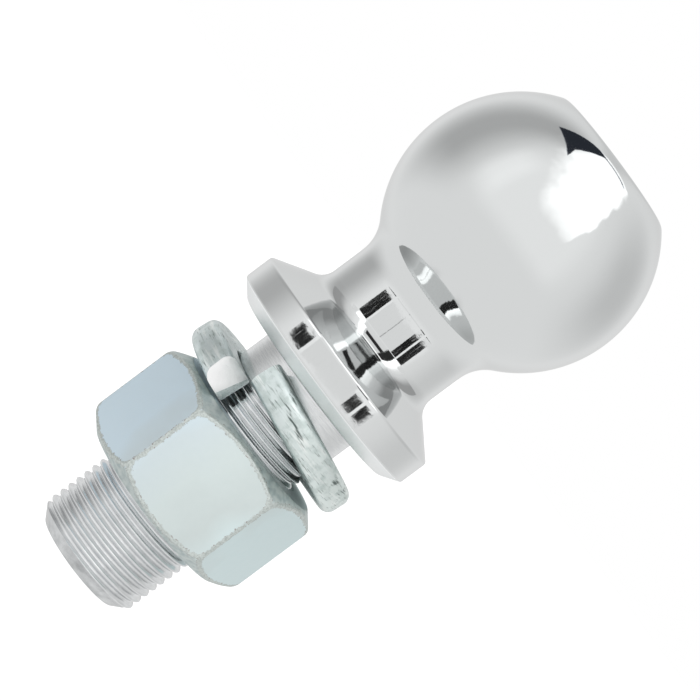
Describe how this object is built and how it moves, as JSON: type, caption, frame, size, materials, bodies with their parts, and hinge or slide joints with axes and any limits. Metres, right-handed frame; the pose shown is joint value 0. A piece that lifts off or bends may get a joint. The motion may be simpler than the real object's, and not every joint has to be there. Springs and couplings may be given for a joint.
{
  "type": "threaded tow ball",
  "caption": "Chromed one-piece tow ball with waisted neck, flange and threaded shank, with split lock washer and hex nut.",
  "frame": {"origin": "centre of the flange's seat face, on the shank's axis, where the shank enters the hitch hole", "axes": "+Z along the shank's axis, up through the ball; -Y is the side that the picture shows, with the washer's split a little towards -X"},
  "size_m": [0.0508, 0.0508, 0.1211],
  "materials": {
    "chrome_plate": "bright chrome plate over polished forged steel",
    "zinc_plate": "satin bright zinc plate on steel, faint blue-green cast"
  },
  "bodies": {
    "ball": {"tow_ball": "chrome_plate"},
    "washer": {"lock_washer": "zinc_plate"},
    "nut": {"hex_nut": "zinc_plate"}
  },
  "joints": [
    {"name": "washer_slide", "type": "slide", "parent": "ball", "child": "washer", "axis": [0, 0, 1], "range_m": [-0.0396, 0.0009]},
    {"name": "nut_turn", "type": "hinge", "parent": "washer", "child": "nut", "pos_m": [0, 0, -0.0252], "axis": [0, 0, 1], "range_deg": [-7830, 160]}
  ],
  "couplings": [
    {"joint": "washer_slide", "follows": "nut_turn", "m_per_rad": 0.00028871}
  ]
}
